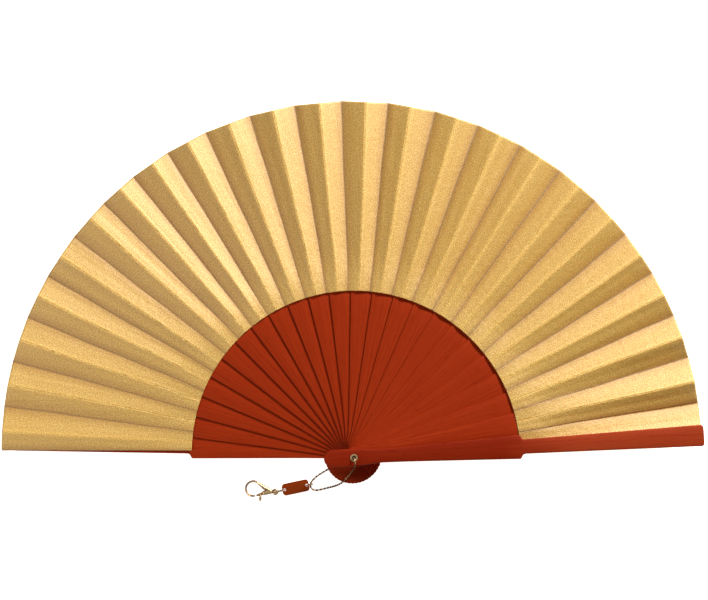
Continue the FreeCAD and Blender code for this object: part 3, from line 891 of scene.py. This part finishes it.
def link_ring(shape, centre, along, side, length, width, wire):
    """One oval link of round wire."""
    rings = []
    for n in range(LINK_SIDES):
        a = 2 * math.pi * n / LINK_SIDES
        middle = centre + along * (length / 2 * math.cos(a)) + side * (width / 2 * math.sin(a))
        outward = (along * math.cos(a) * width + side * math.sin(a) * length).normalized()
        up = along.cross(side)
        ring = []
        for k in range(WIRE_SIDES):
            b = 2 * math.pi * k / WIRE_SIDES
            ring.append(shape.verts.new(middle + outward * (wire * math.cos(b)) + up * (wire * math.sin(b))))
        rings.append(ring)
    for n, ring in enumerate(rings):
        after = rings[(n + 1) % LINK_SIDES]
        for k in range(WIRE_SIDES):
            beside = (k + 1) % WIRE_SIDES
            shape.faces.new((ring[k], after[k], after[beside], ring[beside])).smooth = True


def chain():
    """Oval links along the route, each a quarter turn round from the one before it."""
    line = smooth_route(CHAIN_ROUTE)
    places, total = evenly(line, LINK_PITCH * MM)
    shape = bmesh.new()
    for n, (centre, along) in enumerate(places):
        level = along.cross(Vector((0, 0, 1)))
        if level.length < UPRIGHT:
            level = Vector((1, 0, 0))
        level.normalize()
        upright = along.cross(level).normalized()
        twist = math.radians(FIRST_TWIST + 90 * (n % 2))
        side = level * math.cos(twist) + upright * math.sin(twist)
        link_ring(shape, centre, along, side, LINK_LENGTH * MM, LINK_WIDTH * MM, LINK_WIRE * MM)
    bmesh.ops.recalc_face_normals(shape, faces=shape.faces)
    piece = new_piece("chain", made_mesh("chain", shape), CHAIN_METAL)
    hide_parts("chain_loop")
    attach(piece, "rear_guard")


# ---- clasp --------------------------------------------------------------------------------------
# Places on the clasp are measured from the middle of its eye, forward along it and towards the lever's side.

CLASP_EYE = (-49.07, -24.51)
CLASP_TURN = math.radians(171.4)
CLASP_LEVEL = 1.4
CLASP_THICK = 2.5
BAR_SIDES = 14
EYE_LEVEL = 1.1
EYE_RADIUS = 1.35
EYE_WIRE = 0.72
EYE_THICK = 1.1
EYE_POINTS = 16
HOOK_AT = 14.0
HOOK_RADIUS = 4.6
HOOK_WIRE = 0.62
HOOK_TURNS = (-118, 112)
HOOK_POINTS = 26
# The front arm is two cheeks, below and above the trigger.
CHEEK_LEVELS = (0.4, 2.4)
CHEEK_THICK = 0.64
TRIGGER_THICK = 1.2
# Each point is (forward, across, half width).
BACK_ARM = [(1.5, 0.0, 0.8), (3.0, -0.3, 1.1), (5.0, -0.9, 1.35), (7.4, -1.75, 1.3), (9.6, -2.95, 0.95)]
FRONT_ARM = [(1.5, 0.0, 0.8), (3.0, 0.4, 1.1), (5.0, 1.0, 1.25), (6.8, 1.6, 1.25), (7.7, 2.0, 0.9)]
LEVER_BAR = [
    (4.7, 0.75, 0.3), (5.4, 1.0, 0.6), (7.6, 2.1, 0.85), (9.6, 3.3, 0.8), (11.0, 3.8, 0.6), (11.6, 3.9, 0.3),
]
LEVER_THUMB = [(8.7, 3.2, 0.6), (8.75, 4.8, 0.62), (8.7, 6.1, 0.8), (8.7, 6.8, 0.65), (8.7, 7.0, 0.3)]


def clasp_place(forward, across, level):
    """A point of the clasp, in metres of the row frame."""
    x = CLASP_EYE[0] + forward * math.cos(CLASP_TURN) - across * math.sin(CLASP_TURN)
    y = CLASP_EYE[1] + forward * math.sin(CLASP_TURN) + across * math.cos(CLASP_TURN)
    return Vector((x, y, level)) * MM


def clasp_bar(shape, line, level, thick, closed=False):
    """A rounded bar along (forward, across, half width) points."""
    rings = []
    for n, (forward, across, half) in enumerate(line):
        before = line[n - 1] if n or closed else line[0]
        after = line[(n + 1) % len(line)] if n + 1 < len(line) or closed else line[-1]
        run = Vector((after[0] - before[0], after[1] - before[1])).normalized()
        ring = []
        for k in range(BAR_SIDES):
            a = 2 * math.pi * k / BAR_SIDES
            out = half * math.cos(a)
            up = thick / 2 * math.sin(a)
            place = clasp_place(forward - run.y * out, across + run.x * out, level + up)
            ring.append(shape.verts.new(place))
        rings.append(ring)
    pairs = list(zip(rings, rings[1:]))
    if closed:
        pairs.append((rings[-1], rings[0]))
    else:
        shape.faces.new(rings[0])
        shape.faces.new(list(reversed(rings[-1])))
    for a, b in pairs:
        for k in range(BAR_SIDES):
            beside = (k + 1) % BAR_SIDES
            shape.faces.new((a[k], b[k], b[beside], a[beside])).smooth = True


def round_line(middle, radius, half, start, stop, count):
    """Bar points round an arc, in degrees from the forward direction."""
    turns = [math.radians(mix(start, stop, n / count)) for n in range(count + 1)]
    return [(middle + radius * math.cos(a), radius * math.sin(a), half) for a in turns]


def clasp_piece(name, bars, node, body):
    """A piece of the clasp made of bars, in place of a node and on a body."""
    shape = bmesh.new()
    for bar in bars:
        clasp_bar(shape, *bar)
    bmesh.ops.recalc_face_normals(shape, faces=shape.faces)
    piece = new_piece(name, made_mesh(name, shape), METAL)
    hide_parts(node)
    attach(piece, body)


def clasp():
    """The eye, the hook and the two cheeks in one piece, and the trigger between the cheeks in another."""
    last_turn = 360 - 360 / EYE_POINTS
    eye = round_line(0.0, EYE_RADIUS, EYE_WIRE, 0, last_turn, EYE_POINTS - 1)
    hook = BACK_ARM + round_line(HOOK_AT, HOOK_RADIUS, HOOK_WIRE, *HOOK_TURNS, HOOK_POINTS)
    cheeks = [(FRONT_ARM, level, CHEEK_THICK) for level in CHEEK_LEVELS]
    bars = [(eye, EYE_LEVEL, EYE_THICK, True), (hook, CLASP_LEVEL, CLASP_THICK), *cheeks]
    clasp_piece("clasp_hook", bars, "clasp_body", "clasp")
    bars = [(line, CLASP_LEVEL, TRIGGER_THICK) for line in (LEVER_BAR, LEVER_THUMB)]
    clasp_piece("clasp_trigger", bars, "clasp_lever", "lever")


# ---- carried-over nodes -------------------------------------------------------------------------


def paint_nodes():
    """Give the nodes that stay visible their materials."""
    for name, node in frame["nodes"].items():
        if name == "tag" or name.startswith(("rivet", "chain", "clasp")):
            node.data.materials.clear()
            node.data.materials.append(TAG_WOOD if name == "tag" else METAL)


# ---- camera, light and floor --------------------------------------------------------------------

# Each light is (place, target, size, power, colour), in metres and watts.
LIGHTS = {
    "key": ((0.88, 1.18, 0.80), (0.0, 0.1, 0.0), (0.6, 0.4), 42.0, (1.0, 0.99, 0.97)),
    "fill": ((-0.70, -0.30, 0.50), (-0.1, 0.1, 0.0), (0.5, 0.5), 3.4, (1.0, 0.94, 0.84)),
}
WORLD_COLOUR = (1.0, 0.82, 0.50)
WORLD_STRENGTH = 0.135
FLOOR_HALF = 3.0
FLOOR_LEVEL = -0.0004


def camera():
    """Straight above the open fan, looking down."""
    data = bpy.data.cameras.new("camera")
    data.sensor_width = SENSOR
    data.lens = LENS
    data.clip_start = 0.01
    holder = bpy.data.objects.new("camera", data)
    holder.location = (0.0, CAMERA_Y * MM, CAMERA_HEIGHT * MM)
    bpy.context.scene.collection.objects.link(holder)
    bpy.context.scene.camera = holder


def area_light(name, place, target, size, power, colour):
    data = bpy.data.lights.new(name, "AREA")
    data.shape = "RECTANGLE"
    data.size = size[0]
    data.size_y = size[1]
    data.energy = power
    data.color = colour
    holder = bpy.data.objects.new(name, data)
    holder.location = place
    holder.rotation_euler = (Vector(target) - Vector(place)).to_track_quat("-Z", "Y").to_euler()
    bpy.context.scene.collection.objects.link(holder)


def studio():
    scene = bpy.context.scene
    scene.view_settings.view_transform = "Standard"
    for name, values in LIGHTS.items():
        area_light(name, *values)
    world = bpy.data.worlds.new("world")
    scene.world = world
    world.use_nodes = True
    sky = world.node_tree.nodes["Background"]
    sky.inputs["Color"].default_value = (*WORLD_COLOUR, 1.0)
    sky.inputs["Strength"].default_value = WORLD_STRENGTH


def floor():
    """A plain white ground that glows, so that hardly any shadow shows on it."""
    shape = bmesh.new()
    bmesh.ops.create_grid(shape, x_segments=1, y_segments=1, size=FLOOR_HALF)
    for vertex in shape.verts:
        vertex.co.z = FLOOR_LEVEL
    mesh = made_mesh("floor", shape)
    piece = bpy.data.objects.new("floor", mesh)
    bpy.context.scene.collection.objects.link(piece)
    material, _, shader = new_material("floor")
    shader.inputs["Base Color"].default_value = (0.9, 0.9, 0.9, 1.0)
    shader.inputs["Roughness"].default_value = 0.9
    shader.inputs["Emission Color"].default_value = (1.0, 1.0, 1.0, 1.0)
    shader.inputs["Emission Strength"].default_value = 0.9
    mesh.materials.append(material)


camera()
studio()
floor()
clasp()
chain()
sticks()
leaf()
paint_nodes()
